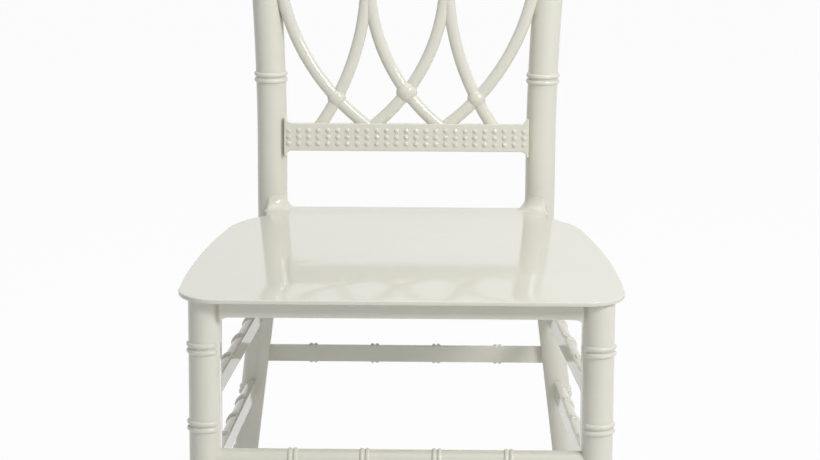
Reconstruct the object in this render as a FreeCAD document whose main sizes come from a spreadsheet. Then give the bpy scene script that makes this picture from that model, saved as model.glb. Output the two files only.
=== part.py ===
"""Chiavari chair in moulded resin, knock-down build. Millimetres, +Z up, X to the sitter's left, Y to the rear.

The origin is on the floor under the middle of the chair. A seat moulding drops onto pegs in two front
legs and bolts to two long back posts, which run from the floor to the top of the back. Seven bars tie
the legs, and two beaded rails hold an interlaced lattice between the posts.
"""
import FreeCAD, Part
import math
import os

import Sketcher
from FreeCAD import Placement, Rotation, Vector

os.makedirs("parts", exist_ok=True)
doc = FreeCAD.newDocument("chiavari_chair")

# Driving dimensions: name, millimetres (or degrees, slopes and counts where the name says so)
DRIVING = (
    ("overall_depth", 470.0),
    ("overall_height", 914.0),
    ("play", 0.2),
    # Seat moulding
    ("seat_height", 450.0),
    ("seat_wall", 5.0),
    ("seat_half_width", 212.0),
    ("seat_waist", 187.8),
    ("seat_waist_ahead_of_post", 110.0),
    ("seat_corner_radius", 40.0),
    ("seat_side_radius", 1230.0),
    ("seat_shoulder_radius", 95.0),
    ("seat_shoulder_out", 5.0),
    ("seat_shoulder_ahead", 50.0),
    ("seat_rear_ahead_of_post", 4.0),
    ("rim_ease", 1.6),
    ("skirt_depth", 15.7),
    ("skirt_wall", 4.0),
    ("skirt_set_back", 13.0),
    ("skirt_corner_radius", 9.0),
    ("rib_wall", 2.6),
    ("rib_depth", 11.0),
    ("rib_count", 3.0),
    ("lip_height", 14.0),
    ("lip_wall", 1.4),
    ("peg_radius", 8.5),
    ("peg_length", 30.0),
    # Front legs
    ("front_leg_half_spacing", 186.3),
    ("front_leg_radius", 15.2),
    ("front_leg_depth", 34.0),
    ("front_leg_back_corner", 5.0),
    ("front_leg_set_back", 9.8),
    ("front_leg_splay_deg", 0.5),
    # Back posts, from floor to top
    ("post_half_spacing", 147.3),
    ("post_radius", 16.3),
    ("post_foot_radius", 14.8),
    ("post_ahead_of_rear", 77.0),
    ("post_flat_at", 12.6),
    ("post_rake_slope", 0.13),
    ("post_rake_from", 465.0),
    ("post_rake_to", 505.0),
    ("post_flare_slope", 0.06),
    ("post_flare_from", 500.0),
    ("post_flare_to", 660.0),
    ("leg_splay_slope", 0.127),
    ("leg_splay_from", 440.0),
    ("leg_splay_to", 400.0),
    ("leg_sweep", 62.0),
    ("leg_sweep_from", 430.0),
    ("post_crown", 7.0),
    # Double rings on legs and posts
    ("ring_pitch", 77.0),
    ("front_ring_top", 397.0),
    ("rear_ring_top", 388.0),
    ("leg_ring_count", 5.0),
    ("ring_gap", 6.4),
    ("ring_half_width", 5.8),
    ("ring_height", 2.2),
    ("ring_waist", 0.5),
    ("post_ring_above_rail", 46.5),
    # Stretchers: outer face round, inner face flat
    ("bar_radius", 9.5),
    ("bar_flat_at", 3.2),
    ("bar_spare_end", 4.5),
    ("bar_ring_pitch", 69.0),
    ("bar_ring_half_width", 4.6),
    ("bar_ring_height", 1.8),
    ("tenon_width", 6.0),
    ("tenon_height", 11.0),
    ("tenon_length", 9.0),
    ("front_bar_high_z", 285.8),
    ("front_bar_low_z", 203.0),
    ("rear_bar_z", 278.0),
    ("side_bar_high_z", 334.0),
    ("side_bar_low_front_z", 252.5),
    ("side_bar_low_rear_z", 239.5),
    # Back: two beaded rails and the lattice between them, in the plane of the raked posts
    ("lattice_middle_z", 697.3),
    ("lattice_half_height", 156.4),
    ("rail_height", 32.3),
    ("rail_depth", 15.0),
    ("rail_corner_radius", 6.0),
    ("rail_over_post", 5.5),
    ("rail_ahead", 9.5),
    ("strip_width", 13.0),
    ("strip_crown", 6.0),
    ("strip_back", 4.5),
    ("strip_side", 2.0),
    ("strip_front", 5.6),
    ("outer_strip_radius", 241.0),
    ("outer_strip_centre", 99.0),
    ("outer_strip_rise", 36.0),
    ("loop_strip_radius", 202.2),
    ("loop_strip_centre", 161.0),
    ("bow_strip_radius", 279.1),
    ("bow_strip_centre", 323.7),
    ("side_knob_radius", 10.2),
    ("middle_knob_radius", 11.6),
    ("tongue_depth", 7.0),
    ("tongue_wall", 5.0),
    # Feet and fasteners
    ("glide_height", 4.0),
    ("glide_stem_radius", 5.0),
    ("glide_stem_length", 14.0),
    ("bolt_radius", 3.0),
    ("bolt_head_radius", 5.0),
    ("bolt_head_height", 4.0),
    ("bolt_below_seat", 14.0),
    ("washer_radius", 7.0),
    ("washer_wall", 1.2),
    ("insert_radius", 4.4),
    ("insert_length", 14.0),
    ("boss_wall", 3.5),
    ("screw_radius", 2.2),
    ("screw_head_radius", 4.0),
    ("screw_head_height", 2.4),
    ("screw_below_seat", 16.0),
)

sheet = doc.addObject("Spreadsheet::Sheet", "Sizes")
for row, (alias, number) in enumerate(DRIVING, start=1):
    sheet.set(f"A{row}", alias)
    sheet.set(f"B{row}", str(number))
    sheet.setAlias(f"B{row}", alias)
doc.recompute()


class Size:
    """A length that carries its number and the sheet formula that gives it."""

    def __init__(self, value, text):
        self.value = value
        self.text = text

    def __add__(self, other):
        other = as_size(other)
        return Size(self.value + other.value, f"({self.text} + {other.text})")

    def __sub__(self, other):
        other = as_size(other)
        return Size(self.value - other.value, f"({self.text} - {other.text})")

    def __mul__(self, other):
        other = as_size(other)
        return Size(self.value * other.value, f"({self.text} * {other.text})")

    def __truediv__(self, other):
        other = as_size(other)
        return Size(self.value / other.value, f"({self.text} / {other.text})")

    def __radd__(self, other):
        return as_size(other) + self

    def __rsub__(self, other):
        return as_size(other) - self

    def __rmul__(self, other):
        return as_size(other) * self

    def __neg__(self):
        return Size(-self.value, f"(-1 * {self.text})")


def as_size(thing):
    """A plain number as a Size, and a Size as it is."""
    return thing if isinstance(thing, Size) else Size(float(thing), f"{float(thing):.6f}")


def root(size):
    return Size(math.sqrt(size.value), f"sqrt({size.text})")


def cell(name):
    return Size(dict(DRIVING)[name], f"Sizes.{name}")


def number(name):
    return dict(DRIVING)[name]


# Helpers for bodies and sketches

def new_body(name):
    body = doc.addObject("PartDesign::Body", name)
    body.Label = name
    return body


def plane_of(body, role):
    return next(item for item in body.Origin.OriginFeatures if item.Role == role)


def bind(thing, field, size):
    """Tie one property of a document object to the sheet."""
    thing.setExpression(field, as_size(size).text)


def new_sketch(body, role, shift=(0, 0, 0), turn_deg=None, turn_about=Vector(0, 0, 1)):
    """A sketch on one of the body's own origin planes, shifted in that plane's own axes."""
    sketch = body.newObject("Sketcher::SketchObject", "Sketch")
    sketch.AttachmentSupport = [(plane_of(body, role), "")]
    sketch.MapMode = "FlatFace"
    turn = Rotation(turn_about, turn_deg) if turn_deg is not None else Rotation()
    sketch.AttachmentOffset = Placement(Vector(*[as_size(part).value for part in shift]), turn)
    for axis, part in zip("xyz", shift):
        bind(sketch, f"AttachmentOffset.Base.{axis}", part)
    return sketch


def fix_point(sketch, geometry, end, point):
    """Hold one end of a piece of sketch geometry at a sheet-driven place."""
    for kind, size in zip(("DistanceX", "DistanceY"), point):
        size = as_size(size)
        index = sketch.addConstraint(Sketcher.Constraint(kind, -1, 1, geometry, end, size.value))
        sketch.setExpression(f"Constraints[{index}]", size.text)


def flat_vector(point):
    return Vector(as_size(point[0]).value, as_size(point[1]).value, 0)


def draw_outline(sketch, corners):
    """Close an outline through corners (x, y, radius): radius bends the edge that leaves the corner.

    No radius is a straight edge, a positive one bulges to the right of travel and a negative one to the left.
    """
    ends = []
    for index, corner in enumerate(corners):
        start = flat_vector(corner)
        end = flat_vector(corners[(index + 1) % len(corners)])
        radius = as_size(corner[2]).value if len(corner) > 2 and corner[2] is not None else 0.0
        if radius == 0.0:
            geometry = sketch.addGeometry(Part.LineSegment(start, end), False)
            ends.append((geometry, 1, 2))
            continue
        chord = end - start
        side = 1.0 if radius > 0 else -1.0
        left = Vector(-chord.y, chord.x, 0).normalize()
        centre = (start + end) * 0.5 + left * side * math.sqrt(radius ** 2 - (chord.Length / 2) ** 2)
        first, last = (start, end) if side > 0 else (end, start)
        angles = [math.atan2((point - centre).y, (point - centre).x) for point in (first, last)]
        circle = Part.Circle(centre, Vector(0, 0, 1), abs(radius))
        geometry = sketch.addGeometry(Part.ArcOfCircle(circle, angles[0], angles[1]), False)
        limit = sketch.addConstraint(Sketcher.Constraint("Radius", geometry, abs(radius)))
        sketch.setExpression(f"Constraints[{limit}]", (as_size(corner[2]) * side).text)
        ends.append((geometry, 1, 2) if side > 0 else (geometry, 2, 1))
    for index, corner in enumerate(corners):
        before = ends[index - 1]
        here = ends[index]
        sketch.addConstraint(Sketcher.Constraint("Coincident", before[0], before[2], here[0], here[1]))
        fix_point(sketch, here[0], here[1], corner[:2])


def draw_circle(sketch, x, y, radius):
    geometry = sketch.addGeometry(Part.Circle(flat_vector((x, y)), Vector(0, 0, 1), as_size(radius).value), False)
    fix_point(sketch, geometry, 3, (x, y))
    limit = sketch.addConstraint(Sketcher.Constraint("Radius", geometry, as_size(radius).value))
    sketch.setExpression(f"Constraints[{limit}]", as_size(radius).text)


def rectangle(x_low, x_high, y_low, y_high):
    return [(x_low, y_low), (x_high, y_low), (x_high, y_high), (x_low, y_high)]


def extrude(body, kind, sketch, length, reverse=False, both_ways=False):
    """A Pad or a Pocket of the sketch."""
    feature = body.newObject(f"PartDesign::{kind}", kind)
    feature.Profile = sketch
    feature.Reversed = reverse
    feature.Midplane = both_ways
    bind(feature, "Length", length)
    sketch.Visibility = False
    return feature


def revolve(body, kind, sketch, axis, angle_deg=360.0, both_ways=False, reverse=False):
    """A Revolution or a Groove of the sketch about one of its own axes."""
    feature = body.newObject(f"PartDesign::{kind}", kind)
    feature.Profile = sketch
    feature.ReferenceAxis = (sketch, [axis])
    feature.Angle = angle_deg
    feature.Midplane = both_ways
    feature.Reversed = reverse
    sketch.Visibility = False
    return feature


def repeat(body, feature, sketch, axis, pitch, count, reverse=False):
    """Copies of a feature at an even pitch along a sketch axis."""
    pattern = body.newObject("PartDesign::LinearPattern", "LinearPattern")
    pattern.Originals = [feature]
    pattern.Direction = (sketch, [axis])
    pattern.Reversed = reverse
    bind(pattern, "Length", as_size(pitch) * (as_size(count) - 1))
    bind(pattern, "Occurrences", count)
    body.Tip = pattern
    return pattern


def drill(body, role, x, y, level, radius, depth, reverse=False):
    """A blind round hole, from a level along an origin plane's normal."""
    sketch = new_sketch(body, role, (0, 0, level))
    draw_circle(sketch, x, y, radius)
    return extrude(body, "Pocket", sketch, depth, reverse=reverse)


def mortise_along(body, start, direction):
    """A blind mortise from a point in the body, along any direction, upright like the tenon it takes."""
    sketch = body.newObject("Sketcher::SketchObject", "Sketch")
    sketch.AttachmentSupport = [(plane_of(body, "XY_Plane"), "")]
    sketch.MapMode = "FlatFace"
    inward = direction * (1 / direction.Length)
    outward = inward * -1
    across = Vector(0, 0, 1).cross(outward).normalize()
    sketch.AttachmentOffset = Placement(start, Rotation(across, outward.cross(across), outward, "ZXY"))
    half, tall = cell("tenon_width") / 2 + play, cell("tenon_height") / 2 + play
    draw_outline(sketch, rectangle(-half, half, -tall, tall))
    return extrude(body, "Pocket", sketch, cell("tenon_length") * 2 + 1)


def boss(body, role, x, y, level, radius, length, reverse=False):
    sketch = new_sketch(body, role, (0, 0, level))
    draw_circle(sketch, x, y, radius)
    return extrude(body, "Pad", sketch, length, reverse=reverse)


# Where things stand, worked out from the driving dimensions

play = cell("play")
front_y = cell("overall_depth") / -2
front_leg_y = front_y + cell("front_leg_set_back") + cell("front_leg_radius")
post_y = cell("overall_depth") / 2 - cell("post_ahead_of_rear")
seat_under_z = cell("seat_height") - cell("seat_wall")
skirt_bottom_z = seat_under_z - cell("skirt_depth")
bolt_z = cell("seat_height") - cell("bolt_below_seat")
screw_z = cell("seat_height") - cell("screw_below_seat")
leg_top_z = seat_under_z


def bend(z, start, end, slope):
    """Sideways travel of a member that is straight to start, curves to end, then runs on at a slope."""
    run = (z - start) / (end - start)
    if run <= 0.0:
        return 0.0
    if run < 1.0:
        return 0.5 * slope * abs(end - start) * run ** 2
    return slope * (abs(z - start) - 0.5 * abs(end - start))


def post_centre(z):
    """Centre of the right-hand post at a height: (x, y)."""
    flare = bend(z, number("post_flare_from"), number("post_flare_to"), number("post_flare_slope"))
    splay = bend(z, number("leg_splay_from"), number("leg_splay_to"), number("leg_splay_slope"))
    rake = bend(z, number("post_rake_from"), number("post_rake_to"), number("post_rake_slope"))
    below = max(number("leg_sweep_from") - z, 0.0) / number("leg_sweep_from")
    sweep = number("leg_sweep") * below ** 2
    return number("post_half_spacing") + flare + splay, post_y.value + rake + sweep


def post_radius_at(z):
    """The post keeps its radius above the seat and tapers to the foot below it."""
    share = min(z / number("seat_height"), 1.0)
    return number("post_foot_radius") + (number("post_radius") - number("post_foot_radius")) * share


# The plane of the back: the rails and the lattice lie in it, with local Y up along the rake
rake_angle = math.atan(number("post_rake_slope"))
stretch = 1.0 / math.cos(rake_angle)


def back_placement(ahead):
    """Place a body of the back: local X across, local Y up the rake, local Z to the front."""
    middle = number("lattice_middle_z")
    spot = Vector(0, post_centre(middle)[1], middle) + Vector(0, -math.cos(rake_angle), math.sin(rake_angle)) * ahead
    return Placement(spot, Rotation(Vector(1, 0, 0), 90.0 - math.degrees(rake_angle)))


# Seat moulding

def seat_outline(inset):
    """Plan outline of the seat, drawn in by an inset, with a round notch at each post."""
    post_x = cell("post_half_spacing")
    notch = cell("post_radius") + play
    rear_y = post_y - cell("seat_rear_ahead_of_post")
    notch_in_x = post_x - root(notch * notch - cell("seat_rear_ahead_of_post") * cell("seat_rear_ahead_of_post"))
    out_x = post_x + cell("seat_shoulder_out")
    out_y = post_y - root(notch * notch - cell("seat_shoulder_out") * cell("seat_shoulder_out"))
    waist_y = post_y - cell("seat_waist_ahead_of_post")
    shoulder_y = post_y - cell("seat_shoulder_ahead")
    corner = cell("seat_corner_radius")
    side_y = front_y + corner + inset
    wide = cell("seat_half_width") - inset
    right = [
        (wide - corner, front_y + inset, corner),
        (wide, side_y, cell("seat_side_radius")),
        (cell("seat_waist") - inset, waist_y, cell("seat_shoulder_radius")),
        (out_x, shoulder_y),
        (out_x, out_y, -notch),
        (post_x, post_y - notch, -notch),
        (notch_in_x, rear_y),
    ]
    left = [
        (-notch_in_x, rear_y, -notch),
        (-post_x, post_y - notch, -notch),
        (-out_x, out_y),
        (-out_x, shoulder_y, cell("seat_shoulder_radius")),
        (-(cell("seat_waist") - inset), waist_y, cell("seat_side_radius")),
        (-wide, side_y, corner),
        (-(wide - corner), front_y + inset),
    ]
    return right + left


def make_seat():
    body = new_body("seat")
    plate = new_sketch(body, "XY_Plane", (0, 0, seat_under_z))
    draw_outline(plate, seat_outline(as_size(0)))
    top = extrude(body, "Pad", plate, cell("seat_wall"))
    doc.recompute()
    rim = body.newObject("PartDesign::Chamfer", "EasedRim")
    rim.Base = (top, rim_edges(top.Shape))
    bind(rim, "Size", cell("rim_ease"))
    add_skirt(body)
    add_ribs(body)
    for side in (-1, 1):
        add_seat_peg(body, side)
        add_rear_boss(body, side)
        add_lip(body, side)
    return body


def rim_edges(shape):
    """Upper and lower edges of the plate that show: all but those at the posts and across the rear."""
    names = []
    rear = post_y.value - number("seat_shoulder_ahead") + 1.0
    for index, edge in enumerate(shape.Edges, start=1):
        box = edge.BoundBox
        if box.ZLength < 0.01 and box.YMax < rear:
            names.append(f"Edge{index}")
    return names


def add_skirt(body):
    """Walls under the plate: a front apron between the legs, two sides and a rear wall."""
    wall = cell("skirt_wall")
    low = skirt_bottom_z
    inner_x = cell("front_leg_half_spacing") - cell("front_leg_radius") - play
    corner = cell("skirt_corner_radius")
    apron = new_sketch(body, "XZ_Plane", (0, 0, -(front_y + cell("skirt_set_back"))))
    draw_outline(apron, [
        (-inner_x, seat_under_z), (-inner_x, low - corner * 0.6, -corner), (-(inner_x - corner), low),
        (inner_x - corner, low, -corner), (inner_x, low - corner * 0.6), (inner_x, seat_under_z),
    ])
    extrude(body, "Pad", apron, wall, reverse=True)
    leg_back_y = front_leg_y + cell("front_leg_depth") - cell("front_leg_radius") + play * 4
    side_rear_y = post_y - cell("post_radius") - cell("boss_wall") * 2
    side_front_x = cell("front_leg_half_spacing") + cell("front_leg_radius") - wall
    side_rear_x = cell("post_half_spacing") + cell("seat_shoulder_out") - wall
    for side in (-1, 1):
        walls = new_sketch(body, "XY_Plane", (0, 0, seat_under_z))
        draw_outline(walls, [
            (side * side_front_x, leg_back_y), (side * (side_front_x - wall), leg_back_y),
            (side * (side_rear_x - wall), side_rear_y), (side * side_rear_x, side_rear_y),
        ][::side])
        extrude(body, "Pad", walls, cell("skirt_depth"), reverse=True)
    rear = new_sketch(body, "XY_Plane", (0, 0, seat_under_z))
    rear_y = post_y - cell("seat_rear_ahead_of_post") - cell("rim_ease")
    rear_x = cell("post_half_spacing") - cell("post_radius") - cell("boss_wall")
    draw_outline(rear, rectangle(-rear_x, rear_x, rear_y - wall, rear_y))
    extrude(body, "Pad", rear, cell("skirt_depth"), reverse=True)


def add_ribs(body):
    """Stiffening ribs under the plate, front to rear and across."""
    rib = cell("rib_wall")
    front = front_y + cell("skirt_set_back") + cell("skirt_wall") * 0.5
    rear = post_y - cell("seat_rear_ahead_of_post") - cell("rim_ease") - cell("skirt_wall") * 0.5
    count = int(number("rib_count"))
    for index in range(1, count + 1):
        share = (index / (count + 1)) * 2 - 1
        x = cell("post_half_spacing") * share
        sketch = new_sketch(body, "XY_Plane", (0, 0, seat_under_z))
        draw_outline(sketch, rectangle(x - rib / 2, x + rib / 2, front, rear))
        extrude(body, "Pad", sketch, cell("rib_depth"), reverse=True)
    half = cell("post_half_spacing")
    for index in range(1, count + 1):
        y = front + (rear - front) * (index / (count + 1))
        sketch = new_sketch(body, "XY_Plane", (0, 0, seat_under_z))
        draw_outline(sketch, rectangle(-half, half, y - rib / 2, y + rib / 2))
        extrude(body, "Pad", sketch, cell("rib_depth"), reverse=True)


def add_seat_peg(body, side):
    """A peg under the front corner that drops into the leg's socket, bored for its cross screw."""
    x = cell("front_leg_half_spacing") * side
    boss(body, "XY_Plane", x, front_leg_y, seat_under_z, cell("peg_radius"), cell("peg_length"), reverse=True)
    pilot_from = (cell("front_leg_half_spacing") - cell("peg_radius") - 1) * side
    drill(body, "YZ_Plane", front_leg_y, screw_z, pilot_from, cell("screw_radius"),
          cell("peg_radius") * 2 + 2, reverse=side > 0)


def add_rear_boss(body, side):
    """A square boss ahead of the post that holds the threaded insert for the seat bolt."""
    x = cell("post_half_spacing") * side
    half = cell("insert_radius") + cell("boss_wall")
    face_y = post_y - cell("post_radius") - play
    sketch = new_sketch(body, "XY_Plane", (0, 0, seat_under_z))
    draw_outline(sketch, rectangle(x - half, x + half, face_y - cell("insert_length") - 6, face_y))
    extrude(body, "Pad", sketch, cell("bolt_below_seat") - cell("seat_wall") + half, reverse=True)
    drill(body, "XZ_Plane", x, bolt_z, -face_y, cell("insert_radius"), cell("insert_length"), reverse=True)
    drill(body, "XZ_Plane", x, bolt_z, -(face_y - cell("insert_length")), cell("bolt_radius") + play,
          4, reverse=True)


LIP_SWEEP_DEG = 96.0
LIP_MIDDLE_DEG = 62.0


def add_lip(body, side):
    """The seat's top runs up the front of each post in a hollow fillet."""
    inner = cell("post_radius") + play
    crest = inner + cell("lip_wall")
    foot = crest + cell("lip_height") - 1
    sketch = new_sketch(body, "XZ_Plane", (cell("post_half_spacing") * side, 0, -post_y),
                        turn_deg=side * LIP_MIDDLE_DEG, turn_about=Vector(0, 1, 0))
    knee = crest + cell("lip_height") * 0.29
    corners = [
        (-inner * side, seat_under_z + 1), (-inner * side, cell("seat_height") + cell("lip_height")),
        (-crest * side, cell("seat_height") + cell("lip_height")),
        (-knee * side, cell("seat_height") + cell("lip_height") * 0.29),
        (-foot * side, cell("seat_height")), (-foot * side, seat_under_z + 1),
    ]
    draw_outline(sketch, corners)
    revolve(body, "Revolution", sketch, "V_Axis", LIP_SWEEP_DEG, both_ways=True)


# Front legs: round to the front, straight sides, flat back

def front_leg_placement(side):
    """The leg stands in its own frame with its origin level with the seat, then splays outwards."""
    spot = Vector(number("front_leg_half_spacing") * side, front_leg_y.value, number("seat_height"))
    return Placement(spot, Rotation(Vector(0, 1, 0), -number("front_leg_splay_deg") * side))


def make_front_leg(name, side):
    body = new_body(name)
    radius = cell("front_leg_radius")
    back = cell("front_leg_depth") - radius
    corner = cell("front_leg_back_corner")
    foot = cell("glide_height") - 1 + play - cell("seat_height")
    stand = front_leg_placement(side)
    section = new_sketch(body, "XY_Plane", (0, 0, foot))
    draw_outline(section, [
        (0, -radius, radius), (radius, 0), (radius, back - corner, corner), (radius - corner, back),
        (corner - radius, back, corner), (-radius, back - corner), (-radius, 0, radius),
    ])
    extrude(body, "Pad", section, -foot - cell("seat_wall"))
    add_rings(body, radius, cell("front_ring_top") - cell("seat_height"), 180.0)
    drill(body, "XY_Plane", 0, 0, -cell("seat_wall"), cell("peg_radius") + play, cell("peg_length") + 1)
    drill(body, "XY_Plane", 0, 0, foot, cell("glide_stem_radius"), cell("glide_stem_length") + 1, reverse=True)
    inward = -side
    into_body = stand.inverse()
    for bar in BARS:
        for start, end in bar_tenons(bar, f"front_{side}"):
            spot = into_body.multVec(start - (end - start))
            direction = into_body.Rotation.multVec(end - start)
            mortise_along(body, spot, direction)
    drill(body, "YZ_Plane", 0, screw_z - cell("seat_height"), radius * inward, cell("screw_radius") + play,
          cell("front_leg_radius"), reverse=inward < 0)
    drill(body, "YZ_Plane", 0, screw_z - cell("seat_height"), radius * inward, cell("screw_head_radius") + play,
          cell("screw_head_height"), reverse=inward < 0)
    body.Placement = stand
    bind(body, "Placement.Base.x", cell("front_leg_half_spacing") * side)
    bind(body, "Placement.Base.y", front_leg_y)
    bind(body, "Placement.Base.z", cell("seat_height"))
    return body


def add_rings(body, radius, top_z, sweep_deg):
    """Double rings round the front of a leg, at an even pitch downwards."""
    sketch = new_sketch(body, "XZ_Plane")
    half = cell("ring_half_width")
    draw_outline(sketch, [(radius - 1, top_z - half), *ring_profile(radius, top_z), (radius - 1, top_z + half)])
    ring = revolve(body, "Revolution", sketch, "V_Axis", sweep_deg, reverse=True)
    repeat(body, ring, sketch, "V_Axis", cell("ring_pitch"), cell("leg_ring_count"), reverse=True)


def ring_profile(radius, middle):
    """A double ring in profile: up to a crest, down to the waist, up and down again."""
    half, gap = cell("ring_half_width"), cell("ring_gap") / 2
    crest, waist = radius + cell("ring_height"), radius + cell("ring_waist")
    steps = [(-half, radius), (-gap, crest), (0, waist), (gap, crest), (half, radius)]
    return [(out, middle + along) for along, out in steps]


# Back posts: one long member from floor to crown, bent in two planes

def post_levels():
    """Heights of the sections that the post is drawn through, close together where it bends."""
    bottom = number("glide_height") - 1.0
    top = number("overall_height") - number("post_crown")
    splay_to, splay_from = number("leg_splay_to"), number("leg_splay_from")
    rake_from, rake_to = number("post_rake_from"), number("post_rake_to")
    spans = ((bottom, splay_to, 1), (splay_to, splay_from, 2), (splay_from, rake_from, 1),
             (rake_from, rake_to, 3), (rake_to, number("post_flare_to"), 3), (number("post_flare_to"), top, 1))
    levels = [bottom]
    for low, high, steps in spans:
        levels += [low + (high - low) * step / steps for step in range(1, steps + 1)]
    return levels


def make_post_solid(side):
    """A round length above the seat on a length with a flat inner face below it."""
    waist = flat_top()
    lower = Part.makeLoft([flatted_section(side, z, rise) for z, rise in post_sections(below=waist)], True, True)
    upper = Part.makeLoft([round_section(side, z, rise) for z, rise in post_sections(above=waist)], True, True)
    solid = lower.fuse([upper, crown(side)])
    return solid.cut(post_holes(side))


def flat_top():
    """Where the flat inner face ends, hidden behind the seat's skirt."""
    return skirt_bottom_z.value - 2.0


def post_sections(below=None, above=None):
    """Heights of one length's sections, each with how far a ring stands out there."""
    edge = below if below is not None else above
    half, gap = number("ring_half_width"), number("ring_gap") / 2
    levels = [(z, 0.0) for z in post_levels()]
    for z, reach in post_openings():
        levels = [level for level in levels if abs(level[0] - z) > reach + 1.0]
        levels += [(z - reach, 0.0), (z + reach, 0.0)]
    crest, waist = number("ring_height"), number("ring_waist")
    for z in post_ring_heights():
        levels = [level for level in levels if abs(level[0] - z) > half + 1.0]
        levels += [(z - half, 0.0), (z - gap, crest), (z, waist), (z + gap, crest), (z + half, 0.0)]
    keep = [level for level in levels if (level[0] < edge - 0.3 if below is not None else level[0] > edge + 0.3)]
    return sorted(set(keep + [(edge, 0.0)]))


def post_openings():
    """Height and half height of each hole through the post's skin."""
    reach = number("tenon_height") / 2 + number("play") + 1.0
    levels = [number("side_bar_high_z"), number("side_bar_low_rear_z"), number("rear_bar_z")]
    levels += [rail_end(1, level).z for level in (-1, 1)]
    return [(z, reach) for z in levels] + [(bolt_z.value, number("washer_radius") + number("play") + 0.6)]


def round_section(side, z, rise=0.0):
    """A round section of a post, in three arcs."""
    x, y = post_centre(z)
    radius = post_radius_at(z) + rise
    return Part.Wire(arcs_round(Vector(x * side, y, z), radius, side, 0.0, 360.0))


def arcs_round(centre, radius, side, first_deg, sweep_deg):
    """Three equal arcs about a centre, mirrored for the other side."""
    points = []
    for step in range(7):
        angle = math.radians(first_deg + sweep_deg * step / 6)
        points.append(centre + Vector(radius * math.cos(angle) * side, radius * math.sin(angle), 0))
    return [Part.Arc(*points[step:step + 3]).toShape() for step in (0, 2, 4)]


def flatted_section(side, z, rise=0.0):
    """A round section with its inner side cut flat."""
    x, y = post_centre(z)
    radius = post_radius_at(z) + rise
    open_deg = math.degrees(math.acos(flat_distance(z) / radius))
    arcs = arcs_round(Vector(x * side, y, z), radius, side, open_deg - 180, 360 - 2 * open_deg)
    ends = [arcs[-1].Vertexes[-1].Point, arcs[0].Vertexes[0].Point]
    return Part.Wire(arcs + [Part.makeLine(*ends)])


def post_ring_heights():
    pitch = number("ring_pitch")
    pairs = [number("rear_ring_top") - pitch * step for step in range(int(number("leg_ring_count")))]
    reach = number("lattice_half_height") / stretch - number("post_ring_above_rail")
    return pairs + [number("lattice_middle_z") - reach, number("lattice_middle_z") + reach]


def crown(side):
    """The domed top of the post: a slice of a ball that meets the post's edge."""
    rise = number("post_crown")
    top = number("overall_height") - rise
    x, y = post_centre(top)
    radius = post_radius_at(top)
    ball = (radius ** 2 + rise ** 2) / (2 * rise)
    start = math.degrees(math.asin((ball - rise) / ball))
    centre = Vector(x * side, y, top + rise - ball)
    return Part.makeSphere(ball, centre, Vector(0, 0, 1), start, 90, 360)


def flat_distance(z):
    """How far the flat inner face lies from the post's centre."""
    return number("post_flat_at") * post_radius_at(z) / number("post_radius")


def post_holes(side):
    """Seat bolt hole with its counterbore, mortises for the bars and rails, and the glide socket."""
    radius = number("post_radius")
    x, y = post_centre(bolt_z.value)
    through = Part.makeCylinder(number("bolt_radius") + number("play"), 4 * radius,
                                Vector(x * side, y - 2 * radius, bolt_z.value), Vector(0, 1, 0))
    sink = Part.makeCylinder(number("washer_radius") + number("play"), 2 * radius,
                             Vector(x * side, washer_face_y(), bolt_z.value), Vector(0, 1, 0))
    foot_x, foot_y = post_centre(0.0)
    stem = Part.makeCylinder(number("glide_stem_radius"),
                             number("glide_height") + number("glide_stem_length") + 1,
                             Vector(foot_x * side, foot_y, 0))
    holes = [through, sink, stem]
    lines = [(*line, False) for bar in BARS for line in bar_tenons(bar, f"rear_{side}")]
    for level in (-1, 1):
        end = rail_end(side, level)
        inner = end - Vector(side, 0, 0) * number("post_radius")
        lines.append((inner, inner + Vector(side, 0, 0) * number("tenon_length"), True))
    for start, end, lean in lines:
        axis = (end - start).normalize()
        holes.append(tenon_block(start - axis * number("tenon_length"), axis, number("tenon_length") * 2 + 1,
                                 number("play"), lean))
    return holes


def washer_face_y():
    """The counterbore's floor in the back of each post."""
    return post_centre(bolt_z.value)[1] + number("post_radius") - number("bolt_head_height") \
        - number("washer_wall") - 1.0


def rail_end(side, level):
    """The middle of a rail's end on the post's own centre line, for the rail at a lattice level."""
    z = number("lattice_middle_z") + level * (number("lattice_half_height") + number("rail_height") / 2) / stretch
    x, y = post_centre(z)
    return Vector(x * side, y, z)


def make_post(name, side):
    post = doc.addObject("Part::Feature", name)
    post.Label = name
    post.Shape = make_post_solid(side)
    return post


# Stretchers: turned outside with four pairs of rings, flat inside, their ends hollowed to the legs

def tenon_block(start, axis, length, grow, lean=False):
    """A block the size of a tenon from a point along its axis, upright or leaning with the back."""
    up = Vector(0, math.sin(rake_angle), math.cos(rake_angle)) if lean else Vector(0, 0, 1)
    across = up.cross(axis).normalize()
    wide, tall = number("tenon_width") + 2 * grow, number("tenon_height") + 2 * grow
    block = Part.makeBox(wide, tall, length, Vector(-wide / 2, -tall / 2, 0))
    block.Placement = Placement(start, Rotation(across, axis.cross(across), axis, "ZXY"))
    return block


def add_tenon(body, shoulder, level, way):
    """A tenon on a bar or rail, out from its shoulder."""
    sketch = new_sketch(body, "YZ_Plane", (0, 0, shoulder - 3 * way))
    half, tall = cell("tenon_width") / 2, cell("tenon_height") / 2
    if body.Label.startswith(("lower_rail", "top_rail")):
        draw_outline(sketch, rectangle(-tall, tall, level - half, level + half))
    else:
        draw_outline(sketch, rectangle(-half, half, -tall, tall))
    extrude(body, "Pad", sketch, cell("tenon_length") + 3, reverse=way < 0)


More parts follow.
